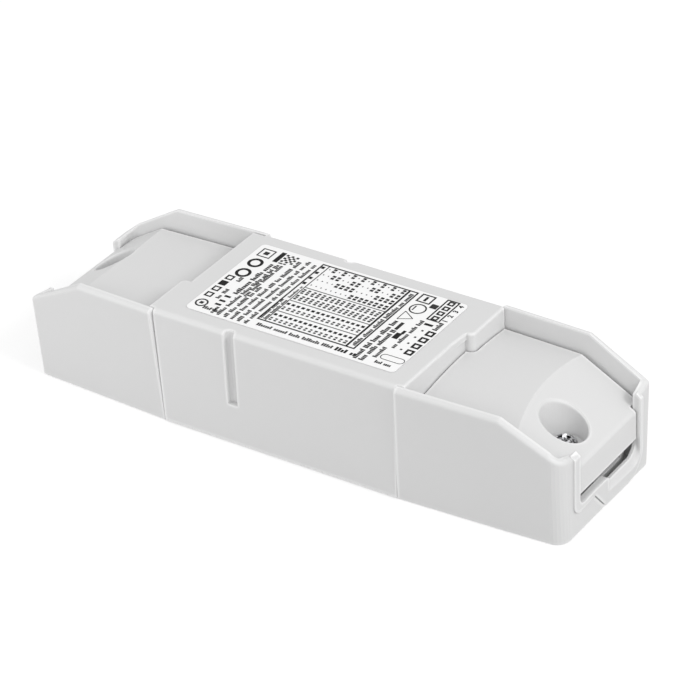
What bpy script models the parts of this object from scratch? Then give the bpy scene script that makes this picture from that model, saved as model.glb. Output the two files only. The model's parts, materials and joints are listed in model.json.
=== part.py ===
# Constant-current LED driver with a screwed terminal cover at each end.
# Metres, +Z up, +X along the length, origin at the centre of the underside.
# Each end is written as the +X end; the input end is then turned half a turn about Z.

from math import atan, cos, pi, sin, sqrt, tan

import bmesh
import bpy
from mathutils import Matrix

# Housing
LENGTH = 0.1512           # between the two end walls, at the floor
WIDTH = 0.0435            # across the centre cover, at the floor
HEIGHT = 0.0316           # floor to deck
GAP = 0.0003              # between pieces that touch or slide on each other
WALL = 0.0017             # base walls
FLOOR = 0.0018            # base floor
FOOT_EDGE = 0.0002        # small rebate along the floor's outer edge
END_FLARE = 0.00075       # base side walls lean out by this much at deck height
END_LEAN = 0.0004         # base end walls lean out by this much at deck height
FOOT_TAPER = 0.0020       # each side wall closes in towards the end, at the floor
TOP_TAPER = 0.0013        # the same at deck height
WIDE_CORNER = 0.0035      # plan radius beside the wide post
NARROW_CORNER = 0.0007    # plan radius beside the narrow post
INNER_CORNER = 0.0003     # smallest plan radius inside a corner
EDGE_RADIUS = 0.00125     # outer top edges
APEX = 0.0156             # the side walls start to fall this far before the end wall
RAMP = 0.516              # fall of the side walls towards the end
INPUT_WIDE_RAMP = 0.600   # the same on the input end's wide side
OUTPUT_POST_FALL = 0.48   # fall of the corner posts' tops towards the opening
INPUT_POST_FALL = 0.20
INPUT_WIDE_POST_FALL = 0.02

# Seams between centre cover and base: how far in from the end wall on the end's wide side, how much
# less on its narrow side, and how far the seam leans out at the deck. The deck runs on past each seam
# by its lap, and by its jog more on the narrow side.
OUTPUT_SEAM = 0.0439
OUTPUT_SEAM_SKEW = 0.0037
OUTPUT_SEAM_LEAN = 0.0008
OUTPUT_LAP = 0.0025
OUTPUT_JOG = 0.0022
INPUT_SEAM = 0.0440
INPUT_SEAM_SKEW = 0.0046
INPUT_SEAM_LEAN = 0.0014
INPUT_LAP = 0.0051
INPUT_JOG = 0.0023

# Cable opening in each end wall
OUTPUT_WIDE_POST = 0.00735    # corner to opening, on the wide side
OUTPUT_NARROW_POST = 0.00435  # and on the narrow side
INPUT_WIDE_POST = 0.00640
INPUT_NARROW_POST = 0.00590
OPENING_CORNER = 0.0022
LIP_HEIGHT = 0.0077
SADDLE_WIDTH = 0.0142     # the lip is lower from the narrow post to here
SADDLE_CREST = 0.0054     # its height at the wall's inner side
SADDLE_MOUTH = 0.0030     # its height at the outer face
SADDLE_SCOOP = 0.0042     # halfway out
SADDLE_CORNER = 0.0034
SADDLE_EDGE = 0.0010
FRAME_WIDE = 0.0026       # raised frame beside the opening, on the wide side
FRAME_NARROW = 0.0012     # the same on the narrow side
FRAME_BELOW = 0.0015      # frame under the lip, on the wide side
FRAME_SWEEP = 0.0065      # radius the frame turns round below the saddle
FRAME_PROUD = 0.0005
FRAME_FOOT_PROUD = 0.0002 # the frame fades towards the floor
FRAME_SLANT_TOP = 0.0066  # its slanted lower edge, measured from the saddle's edge
FRAME_SLANT_FOOT = 0.0015
SLIT = 0.0004             # slit along the output frame's slanted edge
CLAMP_RIB_X = 0.0046      # rib under the cable, inside the end wall
CLAMP_RIB_THICKNESS = 0.0014
CLAMP_RIB_HEIGHT = 0.0062
CLAMP_RIB_TROUGH = 0.0040

# Centre cover
COVER_WALL = 0.0016
DECK = 0.0018
COVER_DRAFT = 0.0004      # each side is this much further in at the deck
COVER_LIFT = 0.0003       # its foot clears the surface under the base
SEAM_GAP = 0.0002
TONGUE = 0.0010           # tongues that lap behind the base's side walls at the seams
TONGUE_ROOT = 0.0012
TONGUE_REACH = 0.0022
JOG_Y = 0.0062            # where the deck's ends jog
STEP_RADIUS = 0.0015      # plan radius of the jog
STEP_EDGE = 0.0004        # soft edge along the deck's ends
APRON = 0.0131            # depth of the walls under the deck's ends
GROOVE_WIDTH = 0.0028     # clip grooves in the two long sides
GROOVE_DEPTH = 0.0016
GROOVE_LENGTH = 0.0204    # deck to the groove's foot
GROOVE_BACK = 0.0012      # wall left behind a groove
FRONT_GROOVE_X = -0.0150
REAR_GROOVE_X = -0.0078

# Terminal covers
LID = 0.0018
OUTPUT_LID_DROP = 0.0049  # deck to the crown's highest line
OUTPUT_CROWN = 0.117      # radius of the crown, and its ridge from the centre line
OUTPUT_RIDGE = 0.0065
OUTPUT_SLOPE = 0.516      # slope towards the end, and where it starts before the end wall
OUTPUT_SLOPE_START = 0.0183
INPUT_LID_DROP = 0.0053
INPUT_CROWN = 0.300
INPUT_RIDGE = 0.0
INPUT_SLOPE = 0.58
INPUT_SLOPE_START = 0.0125
FLAP_ROUND = 0.0012
FLAP_RISE = 0.0021        # lip to the flap's foot
FLAP_SETBACK = 0.0004
SKIRT = 0.0013
SKIRT_DEPTH = 0.0106      # deck to the skirt's foot
SKIRT_BEND = 0.0007       # the skirt's foot starts to fall this far after the slope
OUTPUT_WELL_X = 0.0095    # well axis, measured in from the end wall, and its radius
OUTPUT_WELL_Y = -0.0025
OUTPUT_WELL_RADIUS = 0.0056
INPUT_WELL_X = 0.0071
INPUT_WELL_Y = -0.0042
INPUT_WELL_RADIUS = 0.0053
WELL_DRAFT = 0.0009
WELL_WALL = 0.0013
WELL_DEPTH = 0.0161       # deck to the well's floor
WELL_BASE = 0.0014
RIM_ROUND = 0.00075

# Screws
HEAD_RADIUS = 0.0031
HEAD_HEIGHT = 0.0021
SHANK_RADIUS = 0.00145
SHANK_FOOT = 0.0075       # underside of the housing to the screw's tip
BOSS_WALL = 0.0016
SCREW_CLEARANCE = 0.0003

# Label
LABEL_OUTPUT_GAP = 0.0028 # seam to the label's edge
LABEL_INPUT_GAP = 0.0007
LABEL_MARGIN = 0.0050
LABEL_THICKNESS = 0.00015
LABEL_GAP = 0.00005
LABEL_CORNER = 0.0012

# Circuit board and what it carries
BOARD = 0.0016
BOARD_FOOT = 0.0054
END_ROOM = 0.0256         # end wall to the board
SIDE_ROOM = 0.00185       # cover wall to the board
RAIL_WIDTH = 0.0021
RAIL_LAP = 0.0010
RAIL_INSET = 0.0200       # board's end to the rail
LEDGE_XS = (0.0318, 0.0198)
LEDGE_WIDTH = 0.0016
LEDGE_DEPTH = 0.0014
PIN_RADIUS = 0.0011
PIN_SIDE_INSET = 0.0038
PIN_END_INSET = 0.0240
PIN_HEIGHT = 0.0012

# The component plan is drawn for a board of this size with this room above it
PLAN_LENGTH = 0.100
PLAN_WIDTH = 0.0366
PLAN_ROOM = 0.0225
APRON_ROOM = 0.0007       # between the deck's end walls and what stands under them

POLE = 0.00508
TERMINAL_DEPTH = 0.0095
TERMINAL_HEIGHT = 0.0120
TERMINAL_INSET = 0.0005   # terminal face to the board's end
TERMINAL_WALL = 0.0006
INPUT_POLES = 3
OUTPUT_POLES = 4
OUTPUT_TERMINAL_Y = -0.0070
WIRE_RADIUS = 0.0012
WIRE_HEIGHT = 0.0035
CLAMP_SCREW_RADIUS = 0.0015
CLAMP_SCREW_LENGTH = 0.0048
CLAMP_SCREW_SINK = 0.0012
CLAMP_SLOT = 0.0006
CLAMP_SLOT_DEPTH = 0.0007

SELECTOR_Y = 0.0117
SELECTOR_LENGTH = 0.0099
SELECTOR_HEIGHT = 0.0052
SELECTOR_PITCH = 0.00254
SELECTOR_POLES = 4
SLIDER_WIDTH = 0.0010
SLIDER_LENGTH = 0.0014
SLIDER_HEIGHT = 0.0021
SLIDER_PROUD = 0.0004
SLIDER_TRAVEL = 0.0018

SEGMENTS = 32


# Small helpers

def clear_scene():
    for obj in list(bpy.data.objects):
        bpy.data.objects.remove(obj, do_unlink=True)


def plastic(name, color, roughness, metallic=0.0):
    mat = bpy.data.materials.new(name)
    mat.use_nodes = True
    shader = mat.node_tree.nodes["Principled BSDF"]
    shader.inputs["Base Color"].default_value = (*color, 1.0)
    shader.inputs["Roughness"].default_value = roughness
    shader.inputs["Metallic"].default_value = metallic
    return mat


def loft(rings):
    """A closed solid through rings of equally many points, capped at both ends."""
    mesh = bmesh.new()
    loops = [[mesh.verts.new(point) for point in ring] for ring in rings]
    count = len(loops[0])
    for lower, upper in zip(loops, loops[1:]):
        for i in range(count):
            j = (i + 1) % count
            mesh.faces.new((lower[i], lower[j], upper[j], upper[i]))
    mesh.faces.new(list(reversed(loops[0])))
    mesh.faces.new(loops[-1])
    bmesh.ops.recalc_face_normals(mesh, faces=mesh.faces)
    bmesh.ops.triangulate(mesh, faces=mesh.faces)
    return mesh


def prism(outline, z0, z1):
    return loft([[(x, y, z0) for x, y in outline], [(x, y, z1) for x, y in outline]])


def side_prism(outline, y0, y1):
    """An outline in X and Z, carried along Y."""
    return loft([[(x, y0, z) for x, z in outline], [(x, y1, z) for x, z in outline]])


def end_prism(outline, x0, x1):
    """An outline in Y and Z, carried along X."""
    return loft([[(x0, y, z) for y, z in outline], [(x1, y, z) for y, z in outline]])


def rectangle(x0, x1, y0, y1):
    return [(x0, y0), (x1, y0), (x1, y1), (x0, y1)]


def box(x0, x1, y0, y1, z0, z1):
    return prism(rectangle(x0, x1, y0, y1), z0, z1)


def block(x, y, z, length, width, height):
    """A box centred on x and y, standing on z."""
    return box(x - length / 2, x + length / 2, y - width / 2, y + width / 2, z, z + height)


def arc(cx, cy, radius, start, end, steps):
    """Points from start to end, in quarter turns from +X towards +Y."""
    angles = [(start + (end - start) * i / steps) * pi / 2 for i in range(steps + 1)]
    return [(cx + radius * cos(a), cy + radius * sin(a)) for a in angles]


def rounded(x0, x1, y0, y1, radius, steps=4):
    return (arc(x1 - radius, y0 + radius, radius, -1, 0, steps)
            + arc(x1 - radius, y1 - radius, radius, 0, 1, steps)
            + arc(x0 + radius, y1 - radius, radius, 1, 2, steps)
            + arc(x0 + radius, y0 + radius, radius, 2, 3, steps))


def circle(x, y, radius, segments=SEGMENTS):
    return [(x + radius * cos(2 * pi * i / segments), y + radius * sin(2 * pi * i / segments))
            for i in range(segments)]


def rod(x, y, z0, z1, radius, segments=SEGMENTS):
    return prism(circle(x, y, radius, segments), z0, z1)


def turned(profile, segments=SEGMENTS):
    """A solid of revolution about the origin's vertical axis, from (radius, height) pairs."""
    return loft([[(px, py, z) for px, py in circle(0.0, 0.0, r, segments)] for r, z in profile])


def half_turn(mesh):
    bmesh.ops.transform(mesh, matrix=Matrix.Diagonal((-1.0, -1.0, 1.0, 1.0)), verts=mesh.verts)
    return mesh


def make_object(name, mesh, mat=None):
    data = bpy.data.meshes.new(name)
    mesh.to_mesh(data)
    mesh.free()
    obj = bpy.data.objects.new(name, data)
    bpy.context.collection.objects.link(obj)
    if mat:
        data.materials.append(mat)
        data.shade_smooth()
        data.set_sharp_from_angle(angle=pi / 6)
    return obj


def combine(target, mesh, operation):
    tool = make_object(f"{target.name}.tool", mesh)
    tool.parent = target
    tool.hide_render = True
    tool.display_type = "WIRE"
    modifier = target.modifiers.new(tool.name, "BOOLEAN")
    modifier.solver = "EXACT"
    modifier.operation = operation
    modifier.object = tool
    return tool


def join(target, *meshes):
    for mesh in meshes:
        combine(target, mesh, "UNION")


def cut(target, *meshes):
    for mesh in meshes:
        combine(target, mesh, "DIFFERENCE")


# One end of the housing

HALF = LENGTH / 2
SIDE = WIDTH / 2
FLAP_FOOT = LIP_HEIGHT + FLAP_RISE
APRON_FOOT = HEIGHT - APRON
SKIRT_FOOT = HEIGHT - SKIRT_DEPTH
WELL_FLOOR = HEIGHT - WELL_DEPTH


class End:
    """The sizes of one end, written as if it were the +X end."""

    def __init__(self, turned_round, posts, post_falls, ramps, seam, step, lid_drop, crown, ridge,
                 slope, slope_start, well):
        self.turned_round = turned_round
        self.opening_wide = SIDE - FOOT_TAPER - posts[0]
        self.opening_narrow = SIDE - FOOT_TAPER - posts[1]
        self.saddle_start = self.opening_narrow - SADDLE_WIDTH
        self.post_falls = post_falls
        self.ramps = ramps
        self.seam_near = HALF - seam[0]
        self.seam_far = self.seam_near + seam[1]
        self.seam_lean = seam[2]
        self.step_near = self.seam_near + step[0]
        self.step_far = self.step_near + step[1]
        self.lid_top = HEIGHT - lid_drop
        self.crown = crown
        self.ridge = ridge
        self.slope = slope
        self.fold = HALF - slope_start
        self.well_x = HALF - well[0]
        self.well_y = well[1]
        self.well_radius = well[2]

    def place(self, mesh):
        return half_turn(mesh) if self.turned_round else mesh

    def spot(self, x, y):
        return (-x, -y) if self.turned_round else (x, y)

    def seam(self, y, z):
        """Distance of the seam plane from the centre, at a point across and up the housing."""
        across = (y + SIDE) / WIDTH
        return self.seam_near + (self.seam_far - self.seam_near) * across + self.seam_lean * z / HEIGHT

    def outer_half(self, x, z):
        """Half the width over the base's side walls."""
        start = (self.seam_near + self.seam_far) / 2
        along = min(max((x - start) / (HALF - start), 0.0), 1.0)
        up = z / HEIGHT
        return SIDE + END_FLARE * up - along * (FOOT_TAPER * (1 - up) + TOP_TAPER * up)

    def inner_half(self, x, z):
        return self.outer_half(x, z) - WALL

    def ramp_top(self, side, x):
        """Height of one side wall's top: level, then falling towards the end wall."""
        return HEIGHT - self.ramps[side > 0] * max(x - (HALF - APEX), 0.0)

    def post_top(self, y):
        """Height of the end wall's top, before the opening is cut."""
        corner = WIDE_CORNER if y < 0 else NARROW_CORNER
        inward = max(SIDE - FOOT_TAPER - corner - abs(y), 0.0)
        return self.ramp_top(y, HALF) - self.post_falls[y > 0] * inward

    def slope_z(self, x, drop=0.0):
        return self.lid_top - self.slope * (x - self.fold) - drop

    def crown_z(self, y, drop=0.0):
        return self.lid_top - self.crown + sqrt(self.crown ** 2 - (y - self.ridge) ** 2) - drop


def end_x(z):
    return HALF + END_LEAN * z / HEIGHT


# Pairs are the wide side's value, then the narrow side's
OUTPUT = End(False, (OUTPUT_WIDE_POST, OUTPUT_NARROW_POST),
             (OUTPUT_POST_FALL, OUTPUT_POST_FALL), (RAMP, RAMP),
             (OUTPUT_SEAM, OUTPUT_SEAM_SKEW, OUTPUT_SEAM_LEAN), (OUTPUT_LAP, OUTPUT_JOG),
             OUTPUT_LID_DROP, OUTPUT_CROWN, OUTPUT_RIDGE, OUTPUT_SLOPE, OUTPUT_SLOPE_START,
             (OUTPUT_WELL_X, OUTPUT_WELL_Y, OUTPUT_WELL_RADIUS))
INPUT = End(True, (INPUT_WIDE_POST, INPUT_NARROW_POST), (INPUT_WIDE_POST_FALL, INPUT_POST_FALL),
            (INPUT_WIDE_RAMP, RAMP), (INPUT_SEAM, INPUT_SEAM_SKEW, INPUT_SEAM_LEAN), (INPUT_LAP, INPUT_JOG),
            INPUT_LID_DROP, INPUT_CROWN, INPUT_RIDGE, INPUT_SLOPE, INPUT_SLOPE_START,
            (INPUT_WELL_X, INPUT_WELL_Y, INPUT_WELL_RADIUS))
ENDS = (OUTPUT, INPUT)


def wall_path(end):
    """Stations round one end's wall: kind, side, where along it, inward direction and top."""
    stations = []

    def side_station(side, x):
        stations.append(("side", side, x, (0.0, -side), HEIGHT))

    def corner_stations(side, radius, steps):
        angles = [i * pi / 2 / steps for i in range(steps + 1)]
        if side > 0:
            angles.reverse()
        for angle in angles:
            stations.append(("corner", side, (radius, angle), (-sin(angle), -side * cos(angle)),
                             end.ramp_top(side, HALF - radius + radius * sin(angle))))

    def end_station(side, y):
        stations.append(("end", side, y, (-1.0, 0.0), end.post_top(y)))

    side_station(-1, None)
    side_station(-1, HALF - APEX)
    corner_stations(-1, WIDE_CORNER, 6)
    end_station(-1, -end.opening_wide)
    end_station(1, end.opening_narrow)
    corner_stations(1, NARROW_CORNER, 4)
    side_station(1, HALF - APEX)
    side_station(1, None)
    return stations


def corner_point(end, side, radius, angle, z, inset):
    """A point on the corner arc whose tangents lie inset from the wall's outer faces."""
    x = end_x(z) - inset - radius + radius * sin(angle)
    return x, side * (end.outer_half(HALF, z) - inset - radius + radius * cos(angle))


def wall_point(end, station, z, depth=0.0):
    """The wall at one station and height: its outer face, or a point at some depth inside it."""
    kind, side, value, inward = station[:4]
    if kind == "side":
        y = side * end.outer_half(value or end.seam(side * SIDE, z), z) + depth * inward[1]
        return (end.seam(y, z) if value is None else value), y
    if kind == "corner":
        radius, angle = value
        outer = corner_point(end, side, radius, angle, z, 0.0)
        inner = corner_point(end, side, max(radius - WALL, INNER_CORNER), angle, z, WALL)
    else:
        outer = (end_x(z), value)
        inner = (end_x(z) - WALL, value)
    share = depth / WALL
    return outer[0] + (inner[0] - outer[0]) * share, outer[1] + (inner[1] - outer[1]) * share


def wall_section(end, station, steps=4):
    """The wall's closed section at one station: outer face, round edge, top and inner face."""
    top = station[4]
    points = [(0.0, FOOT_EDGE)]
    points += [(EDGE_RADIUS - EDGE_RADIUS * cos(a), top - EDGE_RADIUS + EDGE_RADIUS * sin(a))
               for a in (i * pi / 2 / steps for i in range(steps + 1))]
    points += [(WALL, top), (WALL, FOOT_EDGE)]
    return [(*wall_point(end, station, z, depth), z) for depth, z in points]


def end_walls(end):
    return end.place(loft([wall_section(end, s) for s in wall_path(end)]))


def floor_edge(end):
    """The floor's outline at one end, just inside the walls; its corners fall between the walls' own,
    and it cuts straight across the narrow corner."""
    points = []
    for station in wall_path(end):
        if station[0] == "corner" and station[1] > 0 and 0.0 < station[2][1] < pi / 2:
            continue
        x, y = wall_point(end, station, 0.0)
        inward = station[3]
        x += (inward[0] - inward[1]) * FOOT_EDGE
        y += (inward[1] + inward[0]) * FOOT_EDGE
        if station[0] == "side" and station[2] is None:
            x = end.seam(y, 0.0)
        points.append(end.spot(x, y))
    return points


def floor_plate():
    middle = SIDE - COVER_WALL - GAP
    outline = []
    for end in ENDS:
        edge = floor_edge(end)
        near = end.spot(end.seam(-middle, 0.0), -middle)
        far = end.spot(end.seam(middle, 0.0), middle)
        outline += [near] + edge + [far]
    return prism(outline, 0.0, FLOOR)


def opening_frame(end):
    """The pad that is left as a raised frame once the opening is cut through it."""
    left = -end.opening_wide - FRAME_WIDE
    right = end.opening_narrow + FRAME_NARROW
    foot = LIP_HEIGHT - FRAME_BELOW
    top_left = end.post_top(left) - EDGE_RADIUS
    top_right = end.post_top(right) - EDGE_RADIUS
    outline = [(left, top_left, FRAME_PROUD)]
    outline += [(y, z, FRAME_PROUD)
                for y, z in arc(left + FRAME_WIDE, foot + FRAME_WIDE, FRAME_WIDE, 2, 3, 5)]
    outline += [(end.saddle_start - FRAME_SLANT_TOP, foot, FRAME_FOOT_PROUD / 2),
                (end.saddle_start - FRAME_SLANT_FOOT, FOOT_EDGE, FRAME_FOOT_PROUD / 2)]
    outline += [(y, z, FRAME_FOOT_PROUD + (FRAME_PROUD - FRAME_FOOT_PROUD) * (z - FOOT_EDGE) / FRAME_SWEEP)
                for y, z in arc(right - FRAME_SWEEP, FOOT_EDGE + FRAME_SWEEP, FRAME_SWEEP, 3, 4, 8)]
    outline += [(right, top_right, FRAME_PROUD)]
    back = [(end_x(z) - WALL / 2, y, z + (EDGE_RADIUS if z in (top_left, top_right) else 0.0) * 0.9)
            for y, z, proud in outline]
    front = [(end_x(z) + proud, y, z) for y, z, proud in outline]
    return end.place(loft([back, front]))


def cable_opening(end):
    """The opening above the lip, with the scooped saddle that lowers the lip for the cable."""
    rings = []
    for x, floor in ((HALF - 2 * WALL, SADDLE_CREST), (HALF - WALL / 2, SADDLE_CREST),
                     (HALF - FLAP_SETBACK, SADDLE_SCOOP), (HALF + FRAME_PROUD, SADDLE_MOUTH),
                     (HALF + 2 * WALL, SADDLE_MOUTH / 2)):
        outline = [(-end.opening_wide, HEIGHT)]
        outline += arc(-end.opening_wide + OPENING_CORNER, LIP_HEIGHT + OPENING_CORNER,
                       OPENING_CORNER, 2, 3, 6)
        outline += arc(end.saddle_start - SADDLE_EDGE, LIP_HEIGHT - SADDLE_EDGE, SADDLE_EDGE, 1, 0, 3)
        outline += arc(end.saddle_start + SADDLE_EDGE / 2, floor + SADDLE_EDGE / 2, SADDLE_EDGE / 2, 2, 3, 3)
        outline += arc(end.opening_narrow - SADDLE_CORNER, floor + SADDLE_CORNER, SADDLE_CORNER, 3, 4, 8)
        outline += [(end.opening_narrow, HEIGHT)]
        rings.append([(x, y, z) for y, z in outline])
    return end.place(loft(rings))


def clamp_trough(end):
    """The cable's way over the rib inside the end wall."""
    x = HALF - CLAMP_RIB_X
    return end.place(box(x - CLAMP_RIB_THICKNESS, x + CLAMP_RIB_THICKNESS, end.saddle_start,
                         end.opening_narrow - WALL, CLAMP_RIB_TROUGH, HEIGHT))


def frame_slit(end):
    """A thin slit along the slanted edge of the frame, that stops just short of both its corners."""
    y0, z0 = end.saddle_start - FRAME_SLANT_TOP, LIP_HEIGHT - FRAME_BELOW
    y1, z1 = end.saddle_start - FRAME_SLANT_FOOT, FOOT_EDGE
    length = sqrt((y1 - y0) ** 2 + (z1 - z0) ** 2)
    along = ((y1 - y0) / length * SLIT, (z1 - z0) / length * SLIT)
    y0, z0, y1, z1 = y0 + along[0], z0 + along[1], y1 - along[0], z1 - along[1]
    across = (-along[1] / 2, along[0] / 2)
    outline = [(y0 - across[0], z0 - across[1]), (y1 - across[0], z1 - across[1]),
               (y1 + across[0], z1 + across[1]), (y0 + across[0], z0 + across[1])]
    return end.place(end_prism(outline, HALF - SLIT, HALF + WALL))


def clamp_rib(end):
    x = HALF - CLAMP_RIB_X
    return end.place(box(x - CLAMP_RIB_THICKNESS / 2, x + CLAMP_RIB_THICKNESS / 2,
                         end.saddle_start - CLAMP_RIB_THICKNESS, end.opening_narrow,
                         FLOOR / 2, CLAMP_RIB_HEIGHT))


def well_axis(end):
    return end.spot(end.well_x, end.well_y)


BOSS_TOP = WELL_FLOOR - WELL_BASE - GAP
BORE_RADIUS = SHANK_RADIUS + SCREW_CLEARANCE
HEAD_FOOT = WELL_FLOOR + GAP
SHANK_LENGTH = HEAD_FOOT - SHANK_FOOT
BOARD_LENGTH = LENGTH - 2 * END_ROOM
BOARD_WIDTH = WIDTH - 2 * (COVER_WALL + SIDE_ROOM)
BOARD_TOP = BOARD_FOOT + BOARD
SEAT = BOARD_TOP + GAP
PIN_X = BOARD_LENGTH / 2 - PIN_END_INSET
PIN_Y = BOARD_WIDTH / 2 - PIN_SIDE_INSET


def lid_ledge(end, side, inset):
    """A rib on the side wall that the terminal cover's skirt sits on."""
    x = HALF - inset
    inner = end.inner_half(x, SKIRT_FOOT)
    y0 = side * (inner - LEDGE_DEPTH)
    y1 = side * (inner + WALL / 3)
    return end.place(box(x - LEDGE_WIDTH / 2, x + LEDGE_WIDTH / 2, min(y0, y1), max(y0, y1),
                         FLOOR / 2, SKIRT_FOOT - GAP))


def board_pin(x, y):
    """A stepped post: the board rests on its shoulder and is held by the pin above."""
    profile = ((2 * PIN_RADIUS, FLOOR / 2), (2 * PIN_RADIUS, BOARD_FOOT - GAP),
               (PIN_RADIUS, BOARD_FOOT - GAP), (PIN_RADIUS, BOARD_TOP + PIN_HEIGHT))
    return loft([[(px, py, z) for px, py in circle(x, y, radius, 16)] for radius, z in profile])


def build_base(mat):
    base = make_object("base_housing", floor_plate(), mat)
    for end in ENDS:
        join(base, end_walls(end), opening_frame(end), clamp_rib(end))
        cut(base, cable_opening(end), clamp_trough(end))
        x, y = well_axis(end)
        join(base, rod(x, y, FLOOR / 2, BOSS_TOP, BORE_RADIUS + BOSS_WALL))
        for side in (-1, 1):
            for inset in LEDGE_XS:
                join(base, lid_ledge(end, side, inset))
        cut(base, rod(x, y, SHANK_FOOT - 2 * GAP, HEIGHT, BORE_RADIUS, 24))
    cut(base, frame_slit(OUTPUT))
    rail_y = BOARD_WIDTH / 2 + RAIL_WIDTH / 2 - RAIL_LAP
    rail_height = BOARD_FOOT - GAP - FLOOR / 2
    for side in (-1, 1):
        join(base, block(0.0, side * rail_y, FLOOR / 2,
                         BOARD_LENGTH - 2 * RAIL_INSET, RAIL_WIDTH, rail_height))
        for x in (-PIN_X, PIN_X):
            join(base, board_pin(x, side * PIN_Y))
    return base


# Centre cover

def cover_half(z):
    return SIDE - COVER_DRAFT * z / HEIGHT


def cover_section(steps=5):
    """Half of the cover's channel section as (y, z): outer face first, then inner face."""
    z_edge = HEIGHT - EDGE_RADIUS
    outer = [(cover_half(COVER_LIFT), COVER_LIFT)]
    outer += [(cover_half(z_edge) - EDGE_RADIUS + EDGE_RADIUS * cos(a), z_edge + EDGE_RADIUS * sin(a))
              for a in (i * pi / 2 / steps for i in range(steps + 1))]
    inner = [(cover_half(COVER_LIFT) - COVER_WALL, COVER_LIFT),
             (cover_half(HEIGHT) - COVER_WALL, HEIGHT - DECK)]
    return outer, inner


def cover_channel():
    outer, inner = cover_section()
    loop = ([(y, z) for y, z in outer] + [(-y, z) for y, z in reversed(outer)]
            + [(-y, z) for y, z in inner] + [(y, z) for y, z in reversed(inner)])
    output_ring = [(OUTPUT.seam(y, z) - SEAM_GAP, y, z) for y, z in loop]
    input_ring = [(-INPUT.seam(-y, z) + SEAM_GAP, y, z) for y, z in loop]
    return loft([input_ring, output_ring])


def deck_end_outline(end, z, inset, start):
    """Plan of the deck past the seam, with its jog; inset moves every free edge in."""
    near = end.step_near - inset
    far = end.step_far - inset
    radius = STEP_RADIUS - inset / 2
    jog = JOG_Y + inset
    points = [(start, -(end.inner_half(start, z) - GAP - inset)),
              (near, -(end.inner_half(near, z) - GAP - inset)),
              (near, jog)]
    points += arc(far - radius, jog + radius, radius, -1, 0, 5)
    points += [(far, end.inner_half(far, z) - GAP - inset),
               (start, end.inner_half(start, z) - GAP - inset)]
    return [(x, y, z) for x, y in points]


def deck_end(end):
    start = end.seam_near - 4 * COVER_WALL
    levels = [(APRON_FOOT, 0.0), (HEIGHT - STEP_EDGE, 0.0),
              (HEIGHT - STEP_EDGE * 0.3, STEP_EDGE * 0.3), (HEIGHT, STEP_EDGE)]
    return end.place(loft([deck_end_outline(end, z, inset, start) for z, inset in levels]))


def deck_end_hollow(end):
    start = end.seam_near - 6 * COVER_WALL
    levels = [APRON_FOOT - GAP, HEIGHT - DECK]
    return end.place(loft([deck_end_outline(end, z, COVER_WALL, start) for z in levels]))


def seam_tongue(end, side):
    """A tongue on the cover that laps behind the base's side wall and closes the seam."""
    rings = []
    for z in (FLOOR + GAP, APRON_FOOT + TONGUE):
        x = end.seam(side * SIDE, z)
        face = end.inner_half(x, z) - 1.2 * GAP
        tip = end.inner_half(x + TONGUE_REACH, z) - 1.2 * GAP
        wall = SIDE - COVER_WALL / 2
        root = x - TONGUE_ROOT
        reach = x + TONGUE_REACH
        outline = [(root, wall), (x - 2 * SEAM_GAP, wall), (x - 2 * SEAM_GAP, face),
                   (reach, tip), (reach, tip - TONGUE), (root, face - TONGUE)]
        rings.append([(px, side * py, z) for px, py in outline])
    return end.place(loft(rings))


def groove_backing(x, side):
    """The rib inside the cover's wall that a clip groove is cut into."""
    inner = cover_half(HEIGHT) - GROOVE_DEPTH - GROOVE_BACK
    y0 = side * inner
    y1 = side * (SIDE - COVER_WALL / 2)
    half = GROOVE_WIDTH / 2 + GROOVE_BACK
    foot = HEIGHT - GROOVE_LENGTH - GROOVE_BACK
    return box(x - half, x + half, min(y0, y1), max(y0, y1), foot, HEIGHT - DECK / 2)


def groove(x, side):
    """A round-bottomed groove that follows the wall's draft and leaves through the deck."""
    half = GROOVE_WIDTH / 2
    rings = []
    for z in (HEIGHT - GROOVE_LENGTH, HEIGHT + EDGE_RADIUS):
        face = cover_half(z)
        section = [(x - half, face + WALL), (x - half, face - GROOVE_DEPTH * 0.25)]
        section += [(x - half * cos(a), face - GROOVE_DEPTH * (0.25 + 0.75 * sin(a)))
                    for a in (i * pi / 6 for i in range(1, 6))]
        section += [(x + half, face - GROOVE_DEPTH * 0.25), (x + half, face + WALL)]
        rings.append([(px, side * py, z) for px, py in section])
    return loft(rings)


def build_center_cover(mat):
    cover = make_object("center_cover", cover_channel(), mat)
    for end in ENDS:
        join(cover, deck_end(end))
        cut(cover, deck_end_hollow(end))
        join(cover, seam_tongue(end, -1), seam_tongue(end, 1))
    for x, side in ((FRONT_GROOVE_X, -1), (REAR_GROOVE_X, 1)):
        join(cover, groove_backing(x, side))
        cut(cover, groove(x, side))
    return cover


# Terminal covers

FLAP_FACE = HALF - FLAP_SETBACK
LID_BACK = HALF - WALL - GAP


def lid_outline(end, inset):
    """Plan of a terminal cover; inset gives the hollow inside its skirt."""
    near = end.step_near + GAP + inset
    far = end.step_far + GAP + inset
    jog = JOG_Y - GAP - inset
    radius = STEP_RADIUS + GAP + inset / 2
    z = FLAP_FOOT
    corner = WIDE_CORNER - WALL + GAP
    back = LID_BACK - inset
    flap = FLAP_FACE - LID if inset else FLAP_FACE
    near_half = end.inner_half(near, z) - GAP - inset
    back_half = end.inner_half(back, z) - GAP - inset
    points = [(near, -near_half)]
    points += [(x, y) for x, y in arc(back - corner, -back_half + corner, corner, -1, 0, 4)]
    points += [(back, -end.opening_wide + GAP + inset), (flap, -end.opening_wide + GAP + inset),
               (flap, end.opening_narrow - GAP - inset), (back, end.opening_narrow - GAP - inset),
               (back, back_half), (far, end.inner_half(far, z) - GAP - inset)]
    points += arc(far - radius, jog + radius, radius, 0, -1, 5)
    points += [(near, jog)]
    return points


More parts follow.
